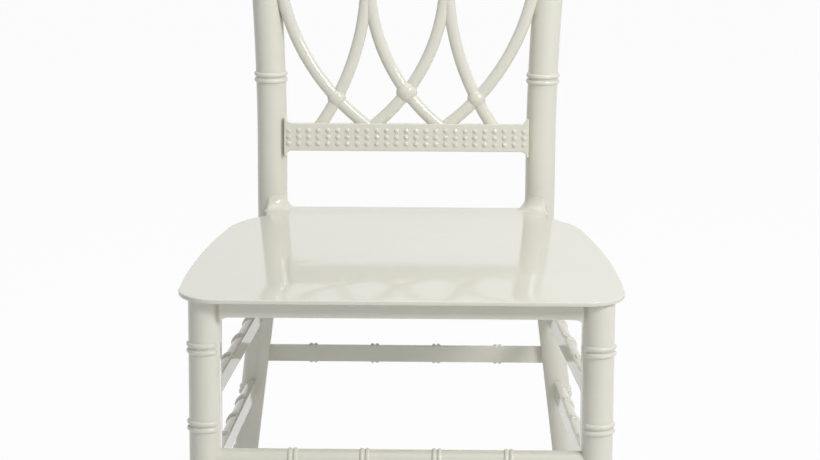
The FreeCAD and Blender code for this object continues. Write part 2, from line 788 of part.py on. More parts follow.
def make_bar(bar):
    """A bar along local X, round towards local -Y, with a round tenon at each end."""
    name, start, end, outward = bar[0], bar[2], bar[4], bar[5]
    body = new_body(f"{name}_blank")
    half = as_size((end - start).Length / 2)
    radius = cell("bar_radius")
    flat = cell("bar_flat_at")
    length = (half + cell("bar_spare_end")) * 2
    section = new_sketch(body, "YZ_Plane")
    draw_circle(section, 0, 0, radius)
    extrude(body, "Pad", section, length, both_ways=True)
    first = cell("bar_ring_pitch") * -1.5
    ring_half = cell("bar_ring_half_width")
    sketch = new_sketch(body, "XY_Plane")
    draw_outline(sketch, [(first - ring_half, radius - 1), (first - ring_half, radius),
                          (first, radius + cell("bar_ring_height")), (first + ring_half, radius),
                          (first + ring_half, radius - 1)])
    ring = revolve(body, "Revolution", sketch, "H_Axis")
    repeat(body, ring, sketch, "H_Axis", cell("bar_ring_pitch"), 4)
    shave = new_sketch(body, "YZ_Plane")
    draw_outline(shave, rectangle(flat, radius * 2, radius * -2, radius * 2))
    extrude(body, "Pocket", shave, length, both_ways=True)
    for way in (-1, 1):
        add_tenon(body, half * way, 0, way)
    along = (end - start).normalize()
    inward = outward * -1.0
    inward = (inward - along * inward.dot(along)).normalize()
    body.Placement = Placement((start + end) * 0.5, Rotation(along, inward, along.cross(inward), "XYZ"))
    doc.recompute()
    stretcher = doc.addObject("Part::Cut", name)
    stretcher.Label = name
    stretcher.Base = body
    stretcher.Tool = make_bar_seats(bar)
    return stretcher


def make_bar_seats(bar):
    """What a bar's ends are hollowed by: the members it joins with a little play, less the tenons."""
    seats = []
    name, where, start, other, end = bar[:5]
    for member, here, there in ((where, start, end), (other, end, start)):
        axis = (here - there).normalize()
        kind, side = member.split("_")
        solid = front_leg_gauge(int(side), here.z) if kind == "front" else post_gauge(int(side), here.z, 30.0)
        tenon = tenon_block(here - axis * 10, axis, number("tenon_length") + 20, 0.0)
        seats.append(solid.cut(tenon))
    tool = doc.addObject("Part::Feature", f"{name}_seats")
    tool.Shape = Part.makeCompound(seats)
    return tool


def front_leg_gauge(side, z):
    """A short length of front leg, grown by the play."""
    grown = number("front_leg_radius") + number("play")
    back = number("front_leg_depth") - number("front_leg_radius") + number("play")
    low = z - number("seat_height") - 30.0
    solid = Part.makeCylinder(grown, 60.0, Vector(0, 0, low))
    solid = solid.fuse(Part.makeBox(grown * 2, back, 60.0, Vector(-grown, 0, low)))
    solid.Placement = front_leg_placement(side)
    return solid


def post_gauge(side, z, reach):
    """A short straight length of post, grown by the play."""
    here = Vector(*post_centre(z), z)
    above = Vector(*post_centre(z + 10.0), z + 10.0)
    below = Vector(*post_centre(z - 10.0), z - 10.0)
    here.x *= side
    along = above - below
    along.x *= side
    along.normalize()
    solid = Part.makeCylinder(post_radius_at(z) + number("play"), 2 * reach, here - along * reach, along)
    if z > flat_top():
        return solid
    inward = Vector(-side, 0, 0)
    inward = (inward - along * inward.dot(along)).normalize()
    size = 4 * number("post_radius")
    block = Part.makeBox(size, size, size * 2, Vector(-size / 2, 0, -size))
    face = here + inward * (flat_distance(z) + number("play"))
    block.Placement = Placement(face, Rotation(inward.cross(along), inward, along, "ZYX"))
    return solid.cut(block)


def side_bar(name, side, front_z, rear_z):
    """A side bar's shoulders: on the flat back of the front leg and at the front of the rear leg."""
    drop = number("seat_height") - front_z
    front_x = number("front_leg_half_spacing") + drop * math.tan(math.radians(number("front_leg_splay_deg")))
    back = number("front_leg_depth") - number("front_leg_radius")
    front = Vector(front_x * side, front_leg_y.value + back, front_z)
    x, y = post_centre(rear_z)
    centre = Vector(x * side, y, rear_z)
    along = (centre - front).normalize()
    rear = centre - along * post_radius_at(rear_z)
    return (name, f"front_{side}", front, f"rear_{side}", rear, Vector(side, 0, 0))


def list_bars():
    """Each bar: name, member and shoulder at one end, member and shoulder at the other, outward side."""
    bars = []
    lean = math.tan(math.radians(number("front_leg_splay_deg")))
    for name, z in (("front_stretcher_upper", number("front_bar_high_z")),
                    ("front_stretcher_lower", number("front_bar_low_z"))):
        reach = number("front_leg_half_spacing") + (number("seat_height") - z) * lean - number("front_leg_radius")
        ends = [Vector(reach * side, front_leg_y.value, z) for side in (-1, 1)]
        bars.append((name, "front_-1", ends[0], "front_1", ends[1], Vector(0, -1, 0)))
    z = number("rear_bar_z")
    x, y = post_centre(z)
    ends = [Vector((x - flat_distance(z)) * side, y, z) for side in (-1, 1)]
    bars.append(("rear_stretcher", "rear_-1", ends[0], "rear_1", ends[1], Vector(0, 1, 0)))
    for word, side in (("left", -1), ("right", 1)):
        bars.append(side_bar(f"side_stretcher_{word}_upper", side, number("side_bar_high_z"),
                             number("side_bar_high_z")))
        bars.append(side_bar(f"side_stretcher_{word}_lower", side, number("side_bar_low_front_z"),
                             number("side_bar_low_rear_z")))
    return bars


def bar_tenons(bar, member):
    """Shoulder and tip of the tenon that a bar puts into a member."""
    name, where, start, other, end = bar[:5]
    reach = (end - start).normalize() * number("tenon_length")
    lines = []
    if where == member:
        lines.append((start, start - reach))
    if other == member:
        lines.append((end, end + reach))
    return lines


BARS = list_bars()


# Back rails: a beaded face, hollow-filleted ends that seat on the posts, and a groove for the lattice

def make_rail(name, level):
    body = new_body(f"{name}_blank")
    post_x = as_size(abs(rail_end(1, level).x))
    half = post_x - cell("rail_over_post") - play
    inner = post_x - cell("post_radius")
    tall = cell("rail_height") / 2
    corner = cell("rail_corner_radius")
    face = new_sketch(body, "XY_Plane", (0, 0, cell("rail_depth") / -2))
    draw_outline(face, [
        (-half, -tall - corner), (-inner, -tall - corner, -corner), (corner - inner, -tall),
        (inner - corner, -tall, -corner), (inner, -tall - corner), (half, -tall - corner),
        (half, tall + corner), (inner, tall + corner, -corner), (inner - corner, tall),
        (corner - inner, tall, -corner), (-inner, tall + corner), (-half, tall + corner),
    ])
    extrude(body, "Pad", face, cell("rail_depth"))
    groove = new_sketch(body, "XY_Plane")
    reach = inner - cell("strip_width")
    mouth = (tall - cell("tongue_depth") - play) * -level
    draw_outline(groove, rectangle(-reach - play, reach + play, *sorted_levels(mouth, (tall + corner) * -level)))
    extrude(body, "Pocket", groove, cell("tongue_wall") + play * 2, both_ways=True)
    for way in (-1, 1):
        add_tenon(body, inner * way, -cell("rail_ahead"), way)
    body.Placement = rail_placement(level)
    doc.recompute()
    rail = doc.addObject("Part::Cut", name)
    rail.Label = name
    rail.Base = body
    rail.Tool = make_rail_seats(name, level)
    return rail


def sorted_levels(first, second):
    return (first, second) if first.value < second.value else (second, first)


def rail_placement(level):
    place = back_placement(number("rail_ahead"))
    shift = Vector(0, level * (number("lattice_half_height") + number("rail_height") / 2), 0)
    return place.multiply(Placement(shift, Rotation()))


def make_rail_seats(name, level):
    """What the rail's two ends are hollowed by: the posts with a little play, less the tenons."""
    seats = []
    for side in (-1, 1):
        end = rail_end(side, level)
        solid = post_gauge(side, end.z, number("rail_height"))
        axis = Vector(side, 0, 0)
        tenon = tenon_block(end - axis * number("post_radius") * 2, axis, number("post_radius") * 2, 0.0, lean=True)
        seats.append(solid.cut(tenon))
    tool = doc.addObject("Part::Feature", f"{name}_seats")
    tool.Shape = Part.makeCompound(seats)
    return tool


# Lattice: six curved strips, knobs at the crossings and a tongue along each end

def make_lattice():
    body = new_body("back_lattice_blank")
    strips = (
        (cell("outer_strip_centre"), cell("outer_strip_radius"), cell("outer_strip_rise")),
        (cell("loop_strip_centre"), cell("loop_strip_radius"), as_size(0)),
        (-cell("bow_strip_centre"), cell("bow_strip_radius"), as_size(0)),
    )
    for centre, radius, rise in strips:
        for side in (-1, 1):
            for level in ((-1, 1) if rise.value else (0,)):
                add_strip(body, centre * side, radius, rise, level)
    for level in (-1, 1):
        add_knobs(body, level)
        add_tongue(body, level)
    body.Placement = back_placement(number("rail_ahead"))
    doc.recompute()
    lattice = doc.addObject("Part::Cut", "back_lattice")
    lattice.Label = "back_lattice"
    lattice.Base = body
    lattice.Tool = make_lattice_trim()
    return lattice


def strip_sweep_deg(radius, rise):
    """How far a strip turns about its centre before its end is inside the rail."""
    reach = number("lattice_half_height") + number("tongue_depth") * 0.8 + rise
    return math.degrees(math.asin(reach / radius))


def add_strip(body, centre, radius, rise, level):
    """A strip's section swept about the centre of its curve: down, up, or both ways for level 0."""
    section = new_sketch(body, "XZ_Plane", (centre, 0, rise * level))
    sign = -1 if centre.value > 0 else 1
    middle = radius * sign
    half, crown = cell("strip_width") / 2, cell("strip_crown") / 2
    draw_outline(section, [
        (middle - half, -cell("strip_back")), (middle + half, -cell("strip_back")), (middle + half, cell("strip_side")),
        (middle + crown, cell("strip_front")), (middle - crown, cell("strip_front")),
        (middle - half, cell("strip_side")),
    ])
    sweep = strip_sweep_deg(radius.value, rise.value)
    if level == 0:
        revolve(body, "Revolution", section, "V_Axis", sweep * 2, both_ways=True)
        return
    turns_up = (level > 0) == (sign > 0)
    revolve(body, "Revolution", section, "V_Axis", sweep, reverse=not turns_up)


def add_knobs(body, level):
    """Domed knobs over the crossings, found where the strips' centre lines meet."""
    loop_x = cell("loop_strip_centre")
    loop_r = cell("loop_strip_radius")
    spots = [(as_size(0), -1 * root(loop_r * loop_r - loop_x * loop_x), cell("middle_knob_radius"))]
    rise = cell("outer_strip_rise")
    outer_x = cell("outer_strip_centre")
    outer_r = cell("outer_strip_radius")
    bow_x = -cell("bow_strip_centre")
    bow_r = cell("bow_strip_radius")
    gap_x = outer_x - bow_x
    span = root(gap_x * gap_x + rise * rise)
    along = (span * span + bow_r * bow_r - outer_r * outer_r) / (2 * span)
    off = root(bow_r * bow_r - along * along)
    x = bow_x + (along * gap_x + off * rise) / span
    y = (along * rise - off * gap_x) / span
    spots.append((x, y, cell("side_knob_radius")))
    spots.append((-x, y, cell("side_knob_radius")))
    for x, y, radius in spots:
        sketch = new_sketch(body, "XZ_Plane", (x, 0, y * level))
        low = -cell("strip_back")
        draw_outline(sketch, [(0, low), (radius * 0.94, low), (radius, 0), (radius * 0.94, radius * 0.34),
                              (radius * 0.55, radius * 0.78), (0, radius * 0.86)])
        revolve(body, "Revolution", sketch, "V_Axis")


def add_tongue(body, level):
    """A flat tongue along the strips' ends, which the rail's groove holds."""
    post_x = as_size(abs(rail_end(1, level).x))
    reach = post_x - cell("post_radius") - cell("strip_width")
    low = cell("lattice_half_height") * level
    high = (cell("lattice_half_height") + cell("tongue_depth")) * level
    sketch = new_sketch(body, "XY_Plane")
    draw_outline(sketch, rectangle(-reach, reach, *sorted_levels(low, high)))
    extrude(body, "Pad", sketch, cell("tongue_wall"), both_ways=True)


def make_lattice_trim():
    """The posts with a little play, and the rails' room above and below except for the tongues."""
    tools = []
    for side in (-1, 1):
        tools.append(post_gauge(side, number("lattice_middle_z"), number("lattice_half_height") / 2))
    width = number("post_half_spacing") * 2.6
    deep = number("rail_depth") * 2
    tongue = number("tongue_wall")
    for level in (-1, 1):
        low = number("lattice_half_height") + number("play")
        for ahead in (tongue / 2, -tongue / 2 - deep):
            corner = Vector(-width / 2, low if level > 0 else -low - 40, ahead)
            block = Part.makeBox(width, 40, deep, corner)
            block.Placement = back_placement(number("rail_ahead"))
            tools.append(block)
        end = number("lattice_half_height") + number("tongue_depth")
        corner = Vector(-width / 2, end if level > 0 else -end - 40, -deep / 2)
        block = Part.makeBox(width, 40, deep, corner)
        block.Placement = back_placement(number("rail_ahead"))
        tools.append(block)
    tool = doc.addObject("Part::Feature", "back_lattice_trim")
    tool.Shape = tools[0].multiFuse(tools[1:])
    return tool


# Feet and fasteners

def make_glides(name, x, y, radius):
    """A pair of floor glides: each a pad under its leg with a stem up into it."""
    pads = []
    for side in (-1, 1):
        pad = Part.makeCylinder(radius, number("glide_height") - 1, Vector(x * side, y, 0))
        stem = Part.makeCylinder(number("glide_stem_radius") - number("play"),
                                 number("glide_stem_length") + 1, Vector(x * side, y, number("glide_height") - 2))
        pads.append(pad.fuse(stem))
    return add_group(name, pads)


def make_feet():
    lean = math.tan(math.radians(number("front_leg_splay_deg")))
    front_x = number("front_leg_half_spacing") + number("seat_height") * lean
    rear_x, rear_y = post_centre(0.0)
    return [make_glides("front_glides", front_x, front_leg_y.value, number("front_leg_radius") - 1),
            make_glides("rear_glides", rear_x, rear_y, number("post_foot_radius") - 1.5)]


def add_group(name, solids):
    """Identical small solids that share one node."""
    group = doc.addObject("Part::Feature", name)
    group.Label = name
    group.Shape = Part.makeCompound(solids)
    return group


def hex_socket(radius, depth, base, axis):
    """A hexagonal recess for a key, from the head's face inwards."""
    prism = Part.Face(Part.makePolygon([
        Vector(radius * math.cos(math.radians(60 * step)), radius * math.sin(math.radians(60 * step)), 0)
        for step in range(7)])).extrude(Vector(0, 0, depth))
    prism.Placement = Placement(base, Rotation(Vector(0, 0, 1), axis))
    return prism


def make_fasteners():
    bolts = []
    washers = []
    inserts = []
    screws = []
    back = Vector(0, 1, 0)
    x, y = post_centre(bolt_z.value)
    face_y = y - number("post_radius") - number("play")
    for side in (-1, 1):
        washer_y = washer_face_y()
        head_y = washer_y + number("washer_wall")
        head = Part.makeCylinder(number("bolt_head_radius"), number("bolt_head_height"),
                                 Vector(x * side, head_y, bolt_z.value), back)
        tip_y = face_y - number("insert_length") - 2
        shank = Part.makeCylinder(number("bolt_radius"), head_y - tip_y, Vector(x * side, tip_y, bolt_z.value), back)
        key = hex_socket(number("bolt_radius"), number("bolt_head_height"),
                         Vector(x * side, head_y + 1.4, bolt_z.value), back)
        bolts.append(head.fuse(shank).cut(key))
        ring = Part.makeCylinder(number("washer_radius"), number("washer_wall"),
                                 Vector(x * side, washer_y, bolt_z.value), back)
        washers.append(ring.cut(Part.makeCylinder(number("bolt_radius") + 0.1, 20,
                                                  Vector(x * side, washer_y - 5, bolt_z.value), back)))
        tube = Part.makeCylinder(number("insert_radius"), number("insert_length"),
                                 Vector(x * side, face_y, bolt_z.value), back * -1)
        inserts.append(tube.cut(Part.makeCylinder(number("bolt_radius"), 40,
                                                  Vector(x * side, face_y + 5, bolt_z.value), back * -1)))
        screws.append(leg_screw(side))
    return [add_group("seat_bolts", bolts), add_group("bolt_washers", washers),
            add_group("seat_inserts", inserts), add_group("leg_screws", screws)]


def leg_screw(side):
    """The pan-head screw through the leg's inner side into the seat's peg."""
    inward = Vector(-side, 0, 0)
    face_x = (number("front_leg_half_spacing") - number("front_leg_radius")) * side
    head_from = Vector(face_x, front_leg_y.value, screw_z.value) - inward * number("screw_head_height")
    head = Part.makeCylinder(number("screw_head_radius"), number("screw_head_height") - number("play"),
                             head_from, inward)
    shank = Part.makeCylinder(number("screw_radius"), number("front_leg_radius"), head_from, inward * -1)
    return head.fuse(shank)


def check(parts):
    """Stop if any object failed or any part's shape is missing or broken."""
    doc.recompute()
    for thing in doc.Objects:
        if "Invalid" in thing.State or "Error" in thing.State:
            raise RuntimeError(f"{thing.Label} did not build: {thing.State}")
    for part in parts:
        if part.Shape.isNull() or not part.Shape.isValid():
            raise RuntimeError(f"{part.Label} has no valid shape")


parts = [make_seat()]
parts += [make_front_leg("front_leg_left", -1), make_front_leg("front_leg_right", 1)]
parts += [make_post("back_post_left", -1), make_post("back_post_right", 1)]
parts += [make_bar(bar) for bar in BARS]
parts += [make_rail("lower_rail", -1), make_rail("top_rail", 1), make_lattice()]
parts += make_feet()
parts += make_fasteners()
check(parts)
for part in parts:
    part.Shape.exportStep(f"parts/{part.Label}.step")
    box = part.Shape.BoundBox
    print(f"{part.Label}: {len(part.Shape.Solids)} solid(s), {part.Shape.Volume:.0f} mm3,",
          f"x {box.XMin:.1f} {box.XMax:.1f}, y {box.YMin:.1f} {box.YMax:.1f}, z {box.ZMin:.1f} {box.ZMax:.1f}")
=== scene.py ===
"""Looks for the chiavari chair: ivory moulded resin, double bamboo rings and a beaded, interlaced back."""
import math

import bmesh
import bpy
from mathutils import Matrix, Vector


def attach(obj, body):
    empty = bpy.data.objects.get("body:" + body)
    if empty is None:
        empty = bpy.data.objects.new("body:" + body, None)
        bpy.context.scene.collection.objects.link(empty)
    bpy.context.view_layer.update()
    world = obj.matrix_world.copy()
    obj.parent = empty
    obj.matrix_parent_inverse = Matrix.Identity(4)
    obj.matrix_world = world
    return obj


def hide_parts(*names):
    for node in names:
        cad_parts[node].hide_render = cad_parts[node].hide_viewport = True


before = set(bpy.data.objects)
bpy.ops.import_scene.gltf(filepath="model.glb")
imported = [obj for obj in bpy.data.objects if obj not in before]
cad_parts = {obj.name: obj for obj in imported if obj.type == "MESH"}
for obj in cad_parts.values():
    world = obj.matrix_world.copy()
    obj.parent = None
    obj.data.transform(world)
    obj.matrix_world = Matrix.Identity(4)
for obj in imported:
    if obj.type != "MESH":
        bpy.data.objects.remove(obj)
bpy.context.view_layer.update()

# Sizes in millimetres. They are the CAD's, but for the heights of the rings and rails and for how far a
# piece runs on inside the one that holds it.

SEAT_Z, FRONT_Y = 450.0, -235.0

# Front legs
FRONT_LEG_X, FRONT_LEG_Y = 186.3, -210.0
FRONT_LEG_R, FRONT_LEG_BACK, FRONT_LEG_CORNER = 15.2, 18.8, 5.0
FRONT_LEG_FOOT_Z, FRONT_LEG_TOP_Z = 3.2, 445.0
FRONT_SPLAY = math.radians(0.5)

# Back posts: where each bend starts and ends, and the slope it leaves
POST_X, POST_Y = 147.3, 158.0
POST_R, POST_FOOT_R, POST_FLAT = 16.3, 14.8, 12.6
POST_FOOT_Z, POST_TOP_Z, CROWN = 3.0, 914.0, 7.0
FLAT_TOP_Z = 427.3
SPREAD_ABOVE = (500.0, 660.0, 0.06)
SPREAD_BELOW = (440.0, 400.0, 0.127)
LEAN_BACK = (465.0, 505.0, 0.13)
SWEEP_TOP, SWEEP_REACH = 430.0, 62.0
RAKE = math.atan(LEAN_BACK[2])

# Double rings: gap between the two crests, half width of a crest, height
LEG_RING, BAR_RING = (6.4, 2.5, 2.0), (5.2, 2.2, 1.9)
RING_COUNT, RING_PITCH = 5, 77.0
POST_RING_TOP, LEG_RING_TOP, POST_RING_FROM_MIDDLE = 388.0, 397.8, 105.2
BAR_RING_PITCH = 69.0

# Stretchers
BAR_R, BAR_FLAT, BAR_SUNK = 9.5, 3.2, 3.0
FRONT_BAR_Z, REAR_BAR_Z = (285.8, 203.0), 278.0
SIDE_BAR_Z = (("upper", 334.0, 334.0), ("lower", 252.5, 239.5))

# Rails and lattice, in the plane of the raked back
BACK_MIDDLE_Z, HALF_HEIGHT = 697.3, 156.4
RAIL_HEIGHT, RAIL_DEPTH, RAIL_AHEAD = 30.2, 15.0, 9.5
RAIL_SUNK, RAIL_FLARE = 2.6, 6.0
STRIP_HALF, STRIP_BACK, STRIP_SIDE, STRIP_CROWN, STRIP_CORNER = 6.5, 4.5, 1.2, 4.4, 0.8
STRIP_SUNK = 6.0
OUTER_CENTRE, OUTER_RISE, OUTER_R = 99.0, 36.0, 241.0
LOOP_CENTRE, LOOP_R = 161.0, 202.2
BOW_CENTRE, BOW_R = 323.7, 279.1
MIDDLE_KNOB_R, SIDE_KNOB_R = 11.6, 10.2


# Shapes of the long members

def bend(z, start, end, slope):
    """Sideways travel of a member that is straight to start, curves to end, then runs on at a slope."""
    run = (z - start) / (end - start)
    if run <= 0.0:
        return 0.0
    if run < 1.0:
        return 0.5 * slope * abs(end - start) * run ** 2
    return slope * (abs(z - start) - 0.5 * abs(end - start))


def post_centre(z):
    """Centre of the right-hand post at a height."""
    below = max(SWEEP_TOP - z, 0.0) / SWEEP_TOP
    x = POST_X + bend(z, *SPREAD_ABOVE) + bend(z, *SPREAD_BELOW)
    y = POST_Y + bend(z, *LEAN_BACK) + SWEEP_REACH * below ** 2
    return x, y


def post_radius(z):
    """Even above the seat, tapered to the foot below it."""
    return POST_FOOT_R + (POST_R - POST_FOOT_R) * min(z / SEAT_Z, 1.0)


def post_flat(z):
    """How far the flat inner face below the seat lies from the post's centre."""
    return POST_FLAT * post_radius(z) / POST_R


def front_leg_x(z):
    """Centre of the right-hand front leg at a height."""
    return FRONT_LEG_X + (SEAT_Z - z) * math.tan(FRONT_SPLAY)


def ring_rise(z, centres, ring):
    """How far a double ring, two round crests side by side, stands out at a place along a member."""
    gap, half, height = ring
    for centre in centres:
        for crest in (centre - gap / 2, centre + gap / 2):
            away = abs(z - crest) / half
            if away < 1.0:
                return height * math.sqrt(1.0 - away ** 2)
    return 0.0


def ring_levels(start, end, centres, ring, step):
    """Levels along a member: coarse on the plain lengths, fine over the rings."""
    gap, half, _ = ring
    count = max(2, round((end - start) / step))
    levels = {start + (end - start) * index / count for index in range(count + 1)}
    fine, clear = 7, 0.4
    for centre in centres:
        low, high = centre - gap / 2 - half, centre + gap / 2 + half
        levels = {level for level in levels if not low - clear < level < high + clear}
        for crest in (centre - gap / 2, centre + gap / 2):
            levels |= {crest + half * math.sin(math.pi / 2 * index / fine)
                       for index in range(-fine, fine + 1)}
    return sorted(level for level in levels if start <= level <= end)


# Mesh helpers

MERGE_REACH = 2e-6
ROUND_DEG = 40.0


def new_object(name, vertices, faces, material, sharp_deg=ROUND_DEG):
    """A smooth-shaded object from vertices in millimetres."""
    mesh = bpy.data.meshes.new(name)
    mesh.from_pydata([Vector(vertex) * 0.001 for vertex in vertices], [], faces)
    return finish_mesh(name, mesh, material, sharp_deg)


def finish_mesh(name, mesh, material, sharp_deg):
    """The mesh merged, turned outwards and shaded smooth up to an angle, as an object."""
    work = bmesh.new()
    work.from_mesh(mesh)
    bmesh.ops.remove_doubles(work, verts=work.verts, dist=MERGE_REACH)
    bmesh.ops.recalc_face_normals(work, faces=work.faces)
    work.to_mesh(mesh)
    work.free()
    mesh.shade_smooth()
    mesh.set_sharp_from_angle(angle=math.radians(sharp_deg))
    mesh.materials.clear()
    mesh.materials.append(material)
    obj = bpy.data.objects.new(name, mesh)
    bpy.context.scene.collection.objects.link(obj)
    return obj


def skin(rows):
    """Points and faces over rings of points of equal length, with both ends capped."""
    width = len(rows[0])
    vertices = [point for row in rows for point in row]
    faces = []
    for row in range(len(rows) - 1):
        low, high = row * width, (row + 1) * width
        for column in range(width):
            after = (column + 1) % width
            faces.append((low + column, low + after, high + after, high + column))
    last = (len(rows) - 1) * width
    faces.append(tuple(reversed(range(width))))
    faces.append(tuple(range(last, last + width)))
    return vertices, faces


def join_meshes(name, pieces, material, sharp_deg=ROUND_DEG):
    """One object from several (vertices, faces) sets."""
    vertices, faces = [], []
    for points, polygons in pieces:
        shift = len(vertices)
        vertices += list(points)
        faces += [tuple(index + shift for index in polygon) for polygon in polygons]
    return new_object(name, vertices, faces, material, sharp_deg)


# Materials

def add_node(tree, kind, **values):
    """A node whose named inputs or settings take these values."""
    node = tree.nodes.new(kind)
    for key, value in values.items():
        if key in node.inputs.keys():
            node.inputs[key].default_value = value
        else:
            setattr(node, key, value)
    return node


def mottle_group():
    """Shared effect: soft drift in tone and gloss, with moulding ripple, over object coordinates."""
    tree = bpy.data.node_groups.new("Moulded surface", "ShaderNodeTree")
    sockets = (
        ("Colour", "NodeSocketColor", (0.8, 0.8, 0.75, 1.0)), ("Tone drift", "NodeSocketFloat", 0.05),
        ("Gloss", "NodeSocketFloat", 0.25), ("Gloss drift", "NodeSocketFloat", 0.08),
        ("Ripple", "NodeSocketFloat", 0.02),
    )
    for name, kind, value in sockets:
        socket = tree.interface.new_socket(name, in_out="INPUT", socket_type=kind)
        socket.default_value = value
    for name, kind in (("Colour", "NodeSocketColor"), ("Roughness", "NodeSocketFloat"),
                       ("Normal", "NodeSocketVector")):
        tree.interface.new_socket(name, in_out="OUTPUT", socket_type=kind)
    links = tree.links
    inputs, outputs = tree.nodes.new("NodeGroupInput"), tree.nodes.new("NodeGroupOutput")
    place = add_node(tree, "ShaderNodeTexCoord")
    broad = add_node(tree, "ShaderNodeTexNoise", Scale=9.0, Detail=3.0, Roughness=0.5)
    fine = add_node(tree, "ShaderNodeTexNoise", Scale=160.0, Detail=4.0, Roughness=0.6)
    for noise in (broad, fine):
        links.new(place.outputs["Object"], noise.inputs["Vector"])
    centred = add_node(tree, "ShaderNodeMath", operation="SUBTRACT")
    centred.inputs[1].default_value = 0.5
    links.new(broad.outputs["Fac"], centred.inputs[0])
    drift = add_node(tree, "ShaderNodeMath", operation="MULTIPLY")
    links.new(centred.outputs[0], drift.inputs[0])
    links.new(inputs.outputs["Tone drift"], drift.inputs[1])
    lift = add_node(tree, "ShaderNodeMath", operation="ADD")
    lift.inputs[1].default_value = 1.0
    links.new(drift.outputs[0], lift.inputs[0])
    tint = add_node(tree, "ShaderNodeVectorMath", operation="SCALE")
    links.new(inputs.outputs["Colour"], tint.inputs[0])
    links.new(lift.outputs[0], tint.inputs["Scale"])
    links.new(tint.outputs[0], outputs.inputs["Colour"])
    spread = add_node(tree, "ShaderNodeMath", operation="MULTIPLY")
    links.new(fine.outputs["Fac"], spread.inputs[0])
    links.new(inputs.outputs["Gloss drift"], spread.inputs[1])
    rough = add_node(tree, "ShaderNodeMath", operation="ADD")
    links.new(spread.outputs[0], rough.inputs[0])
    links.new(inputs.outputs["Gloss"], rough.inputs[1])
    links.new(rough.outputs[0], outputs.inputs["Roughness"])
    bump = add_node(tree, "ShaderNodeBump", Distance=0.002)
    links.new(inputs.outputs["Ripple"], bump.inputs["Strength"])
    links.new(broad.outputs["Fac"], bump.inputs["Height"])
    links.new(bump.outputs["Normal"], outputs.inputs["Normal"])
    return tree


MOULDED = mottle_group()


def make_material(name, colour, gloss, gloss_drift, ripple, tone, **shader):
    """A finish over the moulded surface: further values go straight to the shader's sockets."""
    material = bpy.data.materials.new(name)
    material.use_nodes = True
    tree = material.node_tree
    principled = tree.nodes["Principled BSDF"]
    surface = tree.nodes.new("ShaderNodeGroup")
    surface.node_tree = MOULDED
    surface.inputs["Colour"].default_value = (*colour, 1.0)
    surface.inputs["Tone drift"].default_value = tone
    surface.inputs["Gloss"].default_value = gloss
    surface.inputs["Gloss drift"].default_value = gloss_drift
    surface.inputs["Ripple"].default_value = ripple
    tree.links.new(surface.outputs["Colour"], principled.inputs["Base Color"])
    tree.links.new(surface.outputs["Roughness"], principled.inputs["Roughness"])
    tree.links.new(surface.outputs["Normal"], principled.inputs["Normal"])
    for key, value in shader.items():
        principled.inputs[key.replace("_", " ")].default_value = value
    return material


IVORY = make_material("Ivory resin", (0.74, 0.73, 0.635), gloss=0.05, gloss_drift=0.08,
                      ripple=0.03, tone=0.05, IOR=1.5)
GLIDE = make_material("Glide plastic", (0.52, 0.51, 0.46), gloss=0.5, gloss_drift=0.15,
                      ripple=0.05, tone=0.10)
ZINC = make_material("Zinc plate", (0.60, 0.61, 0.62), gloss=0.28, gloss_drift=0.15,
                     ripple=0.05, tone=0.15, Metallic=1.0)
BRASS = make_material("Brass", (0.62, 0.45, 0.18), gloss=0.30, gloss_drift=0.15,
                      ripple=0.05, tone=0.15, Metallic=1.0)


def show(obj, slot_name, *nodes):
    """An object stands for CAD nodes: it hangs under the root body and the nodes are hidden."""
    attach(obj, "root")
    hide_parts(*nodes)


# Back posts

def leg_ring_share(angle):
    """Below the seat a post's rings cover its outer side and die out towards the front and back."""
    turn = abs((angle + math.pi) % (2 * math.pi) - math.pi)
    full, none = math.radians(52.0), math.radians(88.0)
    share = min(1.0, max(0.0, (none - turn) / (none - full)))
    return share * share * (3.0 - 2.0 * share)


def post_section(side, z, rise, count=72):
    """Round above the flat's top, and cut flat on the inner side below it, with as many points."""
    x, y = post_centre(z)
    flatted = z < FLAT_TOP_Z
    radius = post_radius(z) + (rise if z > FLAT_TOP_Z else 0.0)
    flat = post_flat(z) if flatted else radius
    corner = math.acos(flat / radius)
    inner = max(2, round(count * corner / math.pi)) if flatted else 0
    outer = count - inner
    steps = outer - 1 if flatted else outer
    points = []
    for index in range(outer):
        angle = (corner - math.pi) + (2 * math.pi - 2 * corner) * index / steps
        out = radius + (rise * leg_ring_share(angle) if flatted else 0.0)
        points.append((out * math.cos(angle), out * math.sin(angle)))
    reach = radius * math.sin(corner)
    for index in range(1, inner + 1):
        points.append((-flat, reach - 2 * reach * index / (inner + 1)))
    return [Vector(((x + px) * side, y + py, z)) for px, py in points]


def make_post(name, side):
    """A post from the foot to its domed crown."""
    rings = [POST_RING_TOP - RING_PITCH * step for step in range(RING_COUNT)]
    rings += [BACK_MIDDLE_Z - POST_RING_FROM_MIDDLE, BACK_MIDDLE_Z + POST_RING_FROM_MIDDLE]
    edge = POST_TOP_Z - CROWN
    levels = ring_levels(POST_FOOT_Z, edge, rings, LEG_RING, step=9.0)
    levels = sorted(set(levels) | {FLAT_TOP_Z - 0.05, FLAT_TOP_Z})
    rows = [post_section(side, z, ring_rise(z, rings, LEG_RING)) for z in levels]
    x, y = post_centre(edge)
    top, steps = rows[-1], 12
    for index in range(1, steps + 1):
        turn = math.pi / 2 * index / (steps + 0.5)
        middle = Vector((x * side, y, edge + CROWN * math.sin(turn)))
        rows.append([middle + Vector((point.x - x * side, point.y - y, 0)) * math.cos(turn) for point in top])
    vertices, faces = skin(rows)
    show(new_object(name + "_resin", vertices, faces, IVORY), "ivory_resin", name)


# Front legs

